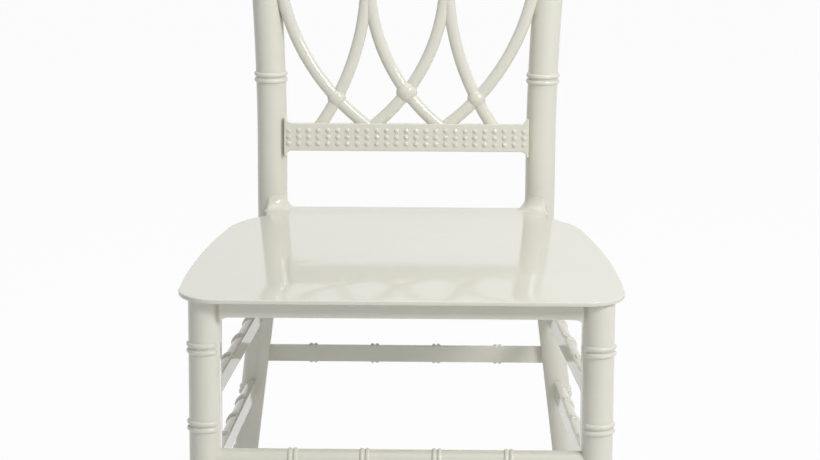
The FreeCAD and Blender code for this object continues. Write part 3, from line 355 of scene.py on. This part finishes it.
def leg_section(rise, side, count=60):
    """Half round to the front, straight sides and a flat back with eased corners; rings stop short inside."""
    plain_inside, fade_inside, fade_outside = 0.18, 0.07, 0.04
    points = []
    for index in range(count + 1):
        angle = math.pi + math.pi * index / count
        inward = index if side > 0 else count - index
        fade = min(1.0, max(0.0, (inward - count * plain_inside) / (count * fade_inside)),
                   (count - inward) / (count * fade_outside))
        radius = FRONT_LEG_R + rise * fade
        points.append((radius * math.cos(angle), radius * math.sin(angle)))
    corner, steps = FRONT_LEG_CORNER, 6
    for centre_x, start in ((FRONT_LEG_R - corner, 0.0), (corner - FRONT_LEG_R, math.pi / 2)):
        for index in range(steps + 1):
            angle = start + math.pi / 2 * index / steps
            points.append((centre_x + corner * math.cos(angle),
                           FRONT_LEG_BACK - corner + corner * math.sin(angle)))
    return points


def make_front_leg(name, side):
    """A leg that splays outwards, with rings on its front."""
    rings = [LEG_RING_TOP - RING_PITCH * step for step in range(RING_COUNT)]
    rows = []
    for z in ring_levels(FRONT_LEG_FOOT_Z, FRONT_LEG_TOP_Z, rings, LEG_RING, step=12.0):
        section = leg_section(ring_rise(z, rings, LEG_RING), side)
        rows.append([Vector((front_leg_x(z) * side + px, FRONT_LEG_Y + py, z)) for px, py in section])
    vertices, faces = skin(rows)
    show(new_object(name + "_resin", vertices, faces, IVORY), "ivory_resin", name)


# Stretchers

def bar_ends():
    """Name, both shoulder points and outward direction of each bar."""
    bars = []
    for name, z in zip(("front_stretcher_upper", "front_stretcher_lower"), FRONT_BAR_Z):
        reach = front_leg_x(z) - FRONT_LEG_R
        ends = [Vector((way * reach, FRONT_LEG_Y, z)) for way in (-1, 1)]
        bars.append((name, *ends, Vector((0, -1, 0))))
    x, y = post_centre(REAR_BAR_Z)
    reach = x - post_flat(REAR_BAR_Z)
    ends = [Vector((way * reach, y, REAR_BAR_Z)) for way in (-1, 1)]
    bars.append(("rear_stretcher", *ends, Vector((0, 1, 0))))
    for word, side in (("left", -1), ("right", 1)):
        for place, front_z, rear_z in SIDE_BAR_Z:
            front = Vector((front_leg_x(front_z) * side, FRONT_LEG_Y + FRONT_LEG_BACK, front_z))
            x, y = post_centre(rear_z)
            centre = Vector((x * side, y, rear_z))
            rear = centre - (centre - front).normalized() * post_radius(rear_z)
            bars.append((f"side_stretcher_{word}_{place}", front, rear, Vector((side, 0, 0))))
    return bars


def make_bar(name, start, end, outward):
    """A bar that is round and ringed outside and flat inside, run a little way into what holds it."""
    half = (end - start).length / 2
    along = (end - start).normalized()
    inward = (-outward + along * outward.dot(along)).normalized()
    up = along.cross(inward)
    middle = (start + end) / 2
    rings = [BAR_RING_PITCH * place for place in (-1.5, -0.5, 0.5, 1.5)]
    corner = math.asin(BAR_FLAT / BAR_R)
    count = 44
    rows = []
    for level in ring_levels(-half - BAR_SUNK, half + BAR_SUNK, rings, BAR_RING, step=12.0):
        rise = ring_rise(level, rings, BAR_RING)
        spot = middle + along * level
        row = []
        for index in range(count + 1):
            angle = -corner + (math.pi + 2 * corner) * index / count
            radius = BAR_R + (rise if 0.0 <= angle <= math.pi else 0.0)
            row.append(spot - inward * (radius * math.sin(angle)) + up * (radius * math.cos(angle)))
        rows.append(row)
    vertices, faces = skin(rows)
    show(new_object(name + "_resin", vertices, faces, IVORY), "ivory_resin", name)


# The back: lattice strips and knobs in the raked plane

def back_matrix(ahead):
    """Local X across, local Y up the rake, local Z to the front, from millimetres."""
    spot = Vector((0, post_centre(BACK_MIDDLE_Z)[1], BACK_MIDDLE_Z))
    spot += Vector((0, -math.cos(RAKE), math.sin(RAKE))) * ahead
    return Matrix.Translation(spot) @ Matrix.Rotation(math.radians(90.0) - RAKE, 4, "X")


def strip_section():
    """Flat back with eased corners and a crowned front, as (across, ahead)."""
    eased_x, eased_y = STRIP_HALF - STRIP_CORNER, STRIP_CORNER - STRIP_BACK
    points = [(-STRIP_HALF, eased_y), (-eased_x, -STRIP_BACK), (eased_x, -STRIP_BACK), (STRIP_HALF, eased_y)]
    steps = 12
    for index in range(steps + 1):
        turn = math.pi * index / steps
        points.append((STRIP_HALF * math.cos(turn), STRIP_SIDE + STRIP_CROWN * math.sin(turn)))
    return points


def strip_rows(centre, rise, radius, first_y, last_y, sign, matrix):
    """Rows of a strip that bulges to sign along X between two heights of its centre line."""
    first = math.asin((first_y - rise) / radius)
    last = math.asin((last_y - rise) / radius)
    row_gap = 6.0
    count = max(12, int(abs(last - first) * radius / row_gap))
    rows = []
    for index in range(count + 1):
        turn = first + (last - first) * index / count
        rows.append([matrix @ Vector((centre + (radius + across) * math.cos(turn) * sign,
                                      rise + (radius + across) * math.sin(turn), ahead))
                     for across, ahead in strip_section()])
    return rows


def knob(x, y, radius, matrix):
    """A domed knob over a crossing."""
    count, steps, dome = 28, 9, 0.82
    profile = [(radius * 0.94, -STRIP_BACK), (radius, 1.0 - STRIP_BACK), (radius, 0.0)]
    for step in range(1, steps + 1):
        turn = math.pi / 2 * step / (steps + 0.3)
        profile.append((radius * math.cos(turn), radius * dome * math.sin(turn)))
    angles = [2 * math.pi * turn / count for turn in range(count)]
    return skin([[matrix @ Vector((x + out * math.cos(angle), y + out * math.sin(angle), ahead))
                  for angle in angles] for out, ahead in profile])


def make_lattice():
    """Eight strips, with knobs where the loops cross and where an outer strip crosses a bow."""
    matrix = back_matrix(RAIL_AHEAD)
    end = HALF_HEIGHT + STRIP_SUNK
    pieces = []
    for side in (-1, 1):
        pieces.append(skin(strip_rows(LOOP_CENTRE * side, 0.0, LOOP_R, -end, end, -side, matrix)))
        pieces.append(skin(strip_rows(-BOW_CENTRE * side, 0.0, BOW_R, -end, end, side, matrix)))
        pieces.append(skin(strip_rows(OUTER_CENTRE * side, OUTER_RISE, OUTER_R, -end, 0.0, -side, matrix)))
        pieces.append(skin(strip_rows(OUTER_CENTRE * side, -OUTER_RISE, OUTER_R, 0.0, end, -side, matrix)))
    low = -math.sqrt(LOOP_R ** 2 - LOOP_CENTRE ** 2)
    gap = OUTER_CENTRE + BOW_CENTRE
    span = math.hypot(gap, OUTER_RISE)
    along = (span ** 2 + BOW_R ** 2 - OUTER_R ** 2) / (2 * span)
    off = math.sqrt(BOW_R ** 2 - along ** 2)
    x = -BOW_CENTRE + (along * gap + off * OUTER_RISE) / span
    y = (along * OUTER_RISE - off * gap) / span
    for level in (1, -1):
        pieces.append(knob(0.0, low * level, MIDDLE_KNOB_R, matrix))
        pieces.append(knob(x, y * level, SIDE_KNOB_R, matrix))
        pieces.append(knob(-x, y * level, SIDE_KNOB_R, matrix))
    show(join_meshes("back_lattice_resin", pieces, IVORY), "ivory_resin", "back_lattice")


# Rails and beads, and copies of CAD forms with eased edges

FLAT_DEG = 35.0


def cad_copy(node, keep=None):
    """A merged copy of a CAD node's mesh, in the chair's frame, with the faces that keep picks."""
    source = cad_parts[node]
    mesh = source.data.copy()
    mesh.transform(source.matrix_world)
    work = bmesh.new()
    work.from_mesh(mesh)
    bmesh.ops.remove_doubles(work, verts=work.verts, dist=MERGE_REACH)
    if keep is not None:
        dropped = [face for face in work.faces if not keep(face)]
        bmesh.ops.delete(work, geom=dropped, context="FACES")
    bmesh.ops.dissolve_limit(work, angle_limit=math.radians(1.0), verts=work.verts, edges=work.edges)
    work.to_mesh(mesh)
    work.free()
    return mesh


def eased_copy(name, node, material, width):
    """A CAD form with its edges rounded over."""
    obj = finish_mesh(name, cad_copy(node), material, FLAT_DEG)
    ease_edges(obj, width)
    return obj


def ease_edges(obj, width):
    """Sharp edges rounded over by a width in millimetres."""
    ease = obj.modifiers.new("Eased edges", "BEVEL")
    ease.width = width * 0.001
    ease.segments = 3
    ease.limit_method = "ANGLE"
    ease.angle_limit = math.radians(40.0)
    ease.harden_normals = True


def bead_tree():
    """Rows of half-sunk beads: counts, pitches, size and material are inputs."""
    tree = bpy.data.node_groups.new("Bead rows", "GeometryNodeTree")
    sockets = (
        ("Geometry", "NodeSocketGeometry", None), ("Columns", "NodeSocketInt", 25),
        ("Rows", "NodeSocketInt", 3), ("Column pitch", "NodeSocketFloat", 0.0107),
        ("Row pitch", "NodeSocketFloat", 0.0072), ("Bead radius", "NodeSocketFloat", 0.0027),
        ("Flatten", "NodeSocketFloat", 0.62), ("Material", "NodeSocketMaterial", None),
    )
    for name, kind, value in sockets:
        socket = tree.interface.new_socket(name, in_out="INPUT", socket_type=kind)
        if value is not None:
            socket.default_value = value
    tree.interface.new_socket("Geometry", in_out="OUTPUT", socket_type="NodeSocketGeometry")
    links = tree.links
    inputs, outputs = tree.nodes.new("NodeGroupInput"), tree.nodes.new("NodeGroupOutput")
    grid = tree.nodes.new("GeometryNodeMeshGrid")
    links.new(inputs.outputs["Columns"], grid.inputs["Vertices X"])
    links.new(inputs.outputs["Rows"], grid.inputs["Vertices Y"])
    for count, pitch, target in (("Columns", "Column pitch", "Size X"), ("Rows", "Row pitch", "Size Y")):
        less = add_node(tree, "ShaderNodeMath", operation="SUBTRACT")
        less.inputs[1].default_value = 1.0
        links.new(inputs.outputs[count], less.inputs[0])
        times = add_node(tree, "ShaderNodeMath", operation="MULTIPLY")
        links.new(less.outputs[0], times.inputs[0])
        links.new(inputs.outputs[pitch], times.inputs[1])
        links.new(times.outputs[0], grid.inputs[target])
    ball = add_node(tree, "GeometryNodeMeshUVSphere", Segments=20, Rings=12)
    links.new(inputs.outputs["Bead radius"], ball.inputs["Radius"])
    squat = add_node(tree, "ShaderNodeCombineXYZ", X=1.0, Y=1.0)
    links.new(inputs.outputs["Flatten"], squat.inputs["Z"])
    place = tree.nodes.new("GeometryNodeInstanceOnPoints")
    links.new(grid.outputs["Mesh"], place.inputs["Points"])
    links.new(ball.outputs["Mesh"], place.inputs["Instance"])
    links.new(squat.outputs["Vector"], place.inputs["Scale"])
    real = tree.nodes.new("GeometryNodeRealizeInstances")
    links.new(place.outputs["Instances"], real.inputs["Geometry"])
    smooth = tree.nodes.new("GeometryNodeSetShadeSmooth")
    links.new(real.outputs["Geometry"], smooth.inputs["Geometry"])
    paint = tree.nodes.new("GeometryNodeSetMaterial")
    links.new(smooth.outputs["Geometry"], paint.inputs["Geometry"])
    links.new(inputs.outputs["Material"], paint.inputs["Material"])
    links.new(paint.outputs["Geometry"], outputs.inputs["Geometry"])
    return tree


BEADS = bead_tree()


def make_rail(name, level):
    """A flat-faced rail whose corners flare into the posts, with its edges rounded over."""
    centre = level * (HALF_HEIGHT + RAIL_HEIGHT / 2)
    across = post_centre(BACK_MIDDLE_Z + centre * math.cos(RAKE))[0]
    edge, tall, steps = across - POST_R, RAIL_HEIGHT / 2, 8
    quarter = [(edge + RAIL_SUNK, tall + RAIL_FLARE), (edge, tall + RAIL_FLARE)]
    for step in range(1, steps + 1):
        turn = math.pi / 2 * step / steps
        quarter.append((edge - RAIL_FLARE * (1 - math.cos(turn)), tall + RAIL_FLARE * (1 - math.sin(turn))))
    outline = [(x, -y) for x, y in reversed(quarter)] + quarter
    outline += [(-x, -y) for x, y in outline]
    matrix = back_matrix(RAIL_AHEAD)
    rows = [[matrix @ Vector((x, centre + y, ahead)) for x, y in outline]
            for ahead in (-RAIL_DEPTH / 2, RAIL_DEPTH / 2)]
    vertices, faces = skin(rows)
    obj = new_object(name + "_resin", vertices, faces, IVORY, FLAT_DEG)
    ease_edges(obj, width=1.4)
    show(obj, "ivory_resin", name)


def socket_id(tree, name):
    """The identifier that a modifier knows an input by."""
    return next(item.identifier for item in tree.interface.items_tree
                if item.name == name and getattr(item, "in_out", "") == "INPUT")


def make_beads(name, level, columns):
    """The beads on one rail's face, as a plain mesh. The tree works in metres, the back in millimetres."""
    carrier = bpy.data.objects.new(name + "_rows", bpy.data.meshes.new(name + "_rows"))
    bpy.context.scene.collection.objects.link(carrier)
    rows = carrier.modifiers.new("Bead rows", "NODES")
    rows.node_group = BEADS
    rows[socket_id(BEADS, "Material")] = IVORY
    rows[socket_id(BEADS, "Columns")] = columns
    bpy.context.view_layer.update()
    shown = carrier.evaluated_get(bpy.context.evaluated_depsgraph_get())
    mesh = bpy.data.meshes.new_from_object(shown)
    bpy.data.objects.remove(carrier)
    shift = Matrix.Translation((0, level * (HALF_HEIGHT + RAIL_HEIGHT / 2), RAIL_DEPTH / 2))
    mesh.transform(Matrix.Scale(0.001, 4) @ back_matrix(RAIL_AHEAD) @ shift @ Matrix.Scale(1000, 4))
    obj = bpy.data.objects.new(name, mesh)
    bpy.context.scene.collection.objects.link(obj)
    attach(obj, "root")


# Seat

def arc_points(start, end, radius, count):
    """Points from start towards end: a positive radius bulges to the right of travel."""
    chord = end - start
    side = 1.0 if radius > 0 else -1.0
    left = Vector((-chord.y, chord.x)).normalized()
    centre = (start + end) / 2 + left * side * math.sqrt(radius ** 2 - (chord.length / 2) ** 2)
    first = math.atan2(start.y - centre.y, start.x - centre.x)
    sweep = 2 * math.asin(chord.length / 2 / abs(radius)) * side
    turns = [first + sweep * index / count for index in range(count)]
    return [centre + Vector((math.cos(turn), math.sin(turn))) * abs(radius) for turn in turns]


def seat_outline():
    """The plate in plan, in millimetres: a waisted half from front to rear, and the same mirrored."""
    notch, outside, rear = 16.5, 5.0, 4.0
    side_half, corner, side_bulge, rear_bulge = 212.0, 40.0, 1230.0, 95.0
    inner_x = POST_X - math.sqrt(notch ** 2 - rear ** 2)
    steps = [  # where each length starts, its radius or None for a straight one, and its points
        (Vector((side_half - corner, FRONT_Y)), corner, 16),
        (Vector((side_half, FRONT_Y + corner)), side_bulge, 40),
        (Vector((187.8, POST_Y - 110.0)), rear_bulge, 18),
        (Vector((POST_X + outside, POST_Y - 50.0)), None, 6),
        (Vector((POST_X + outside, POST_Y - math.sqrt(notch ** 2 - outside ** 2))), -notch, 8),
        (Vector((POST_X, POST_Y - notch)), -notch, 14),
        (Vector((inner_x, POST_Y - rear)), None, 1),
    ]
    half = []
    for index in range(len(steps) - 1):
        start, radius, count = steps[index]
        end = steps[index + 1][0]
        if radius is None:
            half += [start + (end - start) * step / count for step in range(count)]
        else:
            half += arc_points(start, end, radius, count)
    half.append(steps[-1][0])
    return half + [Vector((-point.x, point.y)) for point in reversed(half)]


def inset_loop(loop, distance):
    """The loop drawn in along its corner normals."""
    points = []
    count = len(loop)
    for index, point in enumerate(loop):
        before, after = loop[index - 1], loop[(index + 1) % count]
        first, second = (point - before).normalized(), (after - point).normalized()
        normal = Vector((-(first.y + second.y), first.x + second.x)).normalized()
        scale = 1.0 / max(0.5, normal.dot(Vector((-second.y, second.x))))
        points.append(point + normal * distance * scale)
    return points


def plate_piece():
    """The thin seat plate with its rolled rim."""
    loop = seat_outline()
    top, under, floor = 1.3, 1.6, SEAT_Z - 4.8
    turns = [math.pi / 2 * index / 5 for index in range(6)]
    rim = [(top * (1 - math.sin(turn)), SEAT_Z - top * (1 - math.cos(turn))) for turn in turns]
    rim += [(under * (1 - math.cos(turn)), floor + under * (1 - math.sin(turn))) for turn in turns]
    return skin([[Vector((point.x, point.y, z)) for point in inset_loop(loop, inset)] for inset, z in rim])


def lip_piece(side):
    """The hollow fillet from the seat's top up the front and inner side of a post."""
    inner, top_wall, reach, height = 16.45, 1.2, 14.0, 14.5
    start_deg, sweep_deg, fade_share = 192.0, 100.0, 0.16
    sunk, root_depth = 0.1, 2.0
    turns, steps = 40, 10
    rows = []
    for index in range(turns + 1):
        share = index / turns
        angle = math.radians(start_deg + sweep_deg * share)
        fade = min(1.0, min(share, 1 - share) / fade_share)
        fade = math.sin(fade * math.pi / 2) ** 0.7
        row = []
        for step in range(steps + 1):
            turn = math.pi / 2 * step / steps
            out = inner + top_wall * fade + reach * fade * (1 - math.sin(turn))
            row.append((out, SEAT_Z - sunk + (height * fade) * (1 - math.cos(turn))))
        row.append((inner - sunk, SEAT_Z - sunk + height * fade))
        row.append((inner - sunk, SEAT_Z - root_depth))
        row.append((inner + top_wall * fade + reach * fade, SEAT_Z - root_depth))
        rows.append([Vector(((POST_X + out * math.cos(angle)) * side, POST_Y + out * math.sin(angle), z))
                     for out, z in row])
    return skin(rows)


def make_seat():
    """The CAD's skirt, ribs and bosses under a plate and lips of its own."""
    plate_floor = 0.44505
    under = cad_copy("seat", keep=lambda face: max(vertex.co.z for vertex in face.verts) < plate_floor)
    points = [vertex.co * 1000.0 for vertex in under.vertices]
    polygons = [tuple(polygon.vertices) for polygon in under.polygons]
    pieces = [plate_piece(), (points, polygons), lip_piece(1), lip_piece(-1)]
    show(join_meshes("seat_resin", pieces, IVORY, sharp_deg=38.0), "ivory_resin", "seat")


# Build everything

SMALL_PARTS = (
    ("front_glides", GLIDE, "glide_plastic"), ("rear_glides", GLIDE, "glide_plastic"),
    ("seat_bolts", ZINC, "zinc_steel"), ("bolt_washers", ZINC, "zinc_steel"),
    ("leg_screws", ZINC, "zinc_steel"), ("seat_inserts", BRASS, "brass_insert"),
)

for side, word in ((-1, "left"), (1, "right")):
    make_post(f"back_post_{word}", side)
    make_front_leg(f"front_leg_{word}", side)
for bar in bar_ends():
    make_bar(*bar)
make_lattice()
make_seat()
for name, level, columns in (("lower_rail", -1, 25), ("top_rail", 1, 27)):
    make_rail(name, level)
    make_beads(name + "_beads", level, columns)
for node, material, slot_name in SMALL_PARTS:
    show(eased_copy(node + "_look", node, material, width=0.25), slot_name, node)


# Camera at the photograph's place, and the studio

def aim_camera(place, yaw_deg, pitch_deg, roll_deg):
    """A camera turned right by the yaw and down by the pitch, with its focal length in picture pixels."""
    focal_pixels, picture_width, sensor_width = 2200.0, 820.0, 36.0
    data = bpy.data.cameras.new("Camera")
    data.sensor_width = sensor_width
    data.lens = focal_pixels / picture_width * sensor_width
    data.clip_end = 50.0
    camera = bpy.data.objects.new("Camera", data)
    bpy.context.scene.collection.objects.link(camera)
    yaw, pitch, roll = (math.radians(angle) for angle in (yaw_deg, pitch_deg, roll_deg))
    ahead = Vector((math.sin(yaw) * math.cos(pitch), math.cos(yaw) * math.cos(pitch), -math.sin(pitch)))
    right = Vector((math.cos(yaw), -math.sin(yaw), 0.0))
    down = ahead.cross(right)
    across = right * math.cos(roll) + down * math.sin(roll)
    below = down * math.cos(roll) - right * math.sin(roll)
    turn = Matrix((across, -below, -ahead)).transposed().to_4x4()
    camera.matrix_world = Matrix.Translation(place) @ turn
    bpy.context.scene.camera = camera


def area_light(name, place, target, size, power):
    """A white lamp with a rectangular face, turned to its target."""
    data = bpy.data.lights.new(name, "AREA")
    data.shape = "RECTANGLE"
    data.size, data.size_y = size
    data.energy = power
    light = bpy.data.objects.new(name, data)
    bpy.context.scene.collection.objects.link(light)
    light.location = place
    light.rotation_euler = (Vector(target) - Vector(place)).to_track_quat("-Z", "Y").to_euler()


def seen_or_mirrored(tree):
    """One for rays from the camera and for mirror and glass rays, so gloss shows the paper too."""
    path = tree.nodes.new("ShaderNodeLightPath")
    total = path.outputs["Is Camera Ray"]
    for name in ("Is Glossy Ray", "Is Transmission Ray"):
        either = add_node(tree, "ShaderNodeMath", operation="MAXIMUM")
        tree.links.new(total, either.inputs[0])
        tree.links.new(path.outputs[name], either.inputs[1])
        total = either.outputs[0]
    return total


def make_floor():
    """A wide pale floor that the camera sees as white paper, darkened only where the chair shades it."""
    reach, paper_share = 20.0, 0.95
    corners = [(-reach, -reach, 0), (reach, -reach, 0), (reach, reach, 0), (-reach, reach, 0)]
    mesh = bpy.data.meshes.new("Floor")
    mesh.from_pydata(corners, [], [(0, 1, 2, 3)])
    floor = bpy.data.objects.new("Floor", mesh)
    bpy.context.scene.collection.objects.link(floor)
    material = bpy.data.materials.new("Paper floor")
    material.use_nodes = True
    tree = material.node_tree
    output, principled = tree.nodes["Material Output"], tree.nodes["Principled BSDF"]
    principled.inputs["Base Color"].default_value = (0.9, 0.9, 0.9, 1.0)
    principled.inputs["Roughness"].default_value = 0.9
    glow = tree.nodes.new("ShaderNodeEmission")
    mix = tree.nodes.new("ShaderNodeMixShader")
    share = add_node(tree, "ShaderNodeMath", operation="MULTIPLY")
    share.inputs[1].default_value = paper_share
    tree.links.new(seen_or_mirrored(tree), share.inputs[0])
    tree.links.new(share.outputs[0], mix.inputs["Fac"])
    tree.links.new(principled.outputs[0], mix.inputs[1])
    tree.links.new(glow.outputs[0], mix.inputs[2])
    tree.links.new(mix.outputs[0], output.inputs["Surface"])
    mesh.materials.append(material)


def white_world(strength, ambient):
    """White to the camera, a softer grey to everything else."""
    world = bpy.data.worlds.new("Studio")
    bpy.context.scene.world = world
    world.use_nodes = True
    tree = world.node_tree
    tree.nodes.clear()
    output = tree.nodes.new("ShaderNodeOutputWorld")
    mix = tree.nodes.new("ShaderNodeMixShader")
    room, paper = tree.nodes.new("ShaderNodeBackground"), tree.nodes.new("ShaderNodeBackground")
    room.inputs["Color"].default_value = (*ambient, 1.0)
    room.inputs["Strength"].default_value = strength
    paper.inputs["Color"].default_value = (1.0, 1.0, 1.0, 1.0)
    tree.links.new(seen_or_mirrored(tree), mix.inputs["Fac"])
    tree.links.new(room.outputs[0], mix.inputs[1])
    tree.links.new(paper.outputs[0], mix.inputs[2])
    tree.links.new(mix.outputs[0], output.inputs["Surface"])


aim_camera((0.0255, -2.210, 0.998), yaw_deg=-0.51, pitch_deg=13.65, roll_deg=-0.29)
make_floor()
white_world(strength=0.33, ambient=(0.95, 0.96, 1.0))
area_light("Key", (1.5, -1.6, 2.1), (0.0, 0.0, 0.5), size=(0.8, 0.8), power=40.0)
area_light("Top", (0.1, -0.1, 2.5), (0.0, 0.0, 0.5), size=(1.6, 1.6), power=14.0)
area_light("Fill", (-1.8, -1.6, 1.2), (0.0, 0.0, 0.4), size=(0.8, 1.5), power=0.8)

bpy.context.scene.view_settings.view_transform = "Standard"
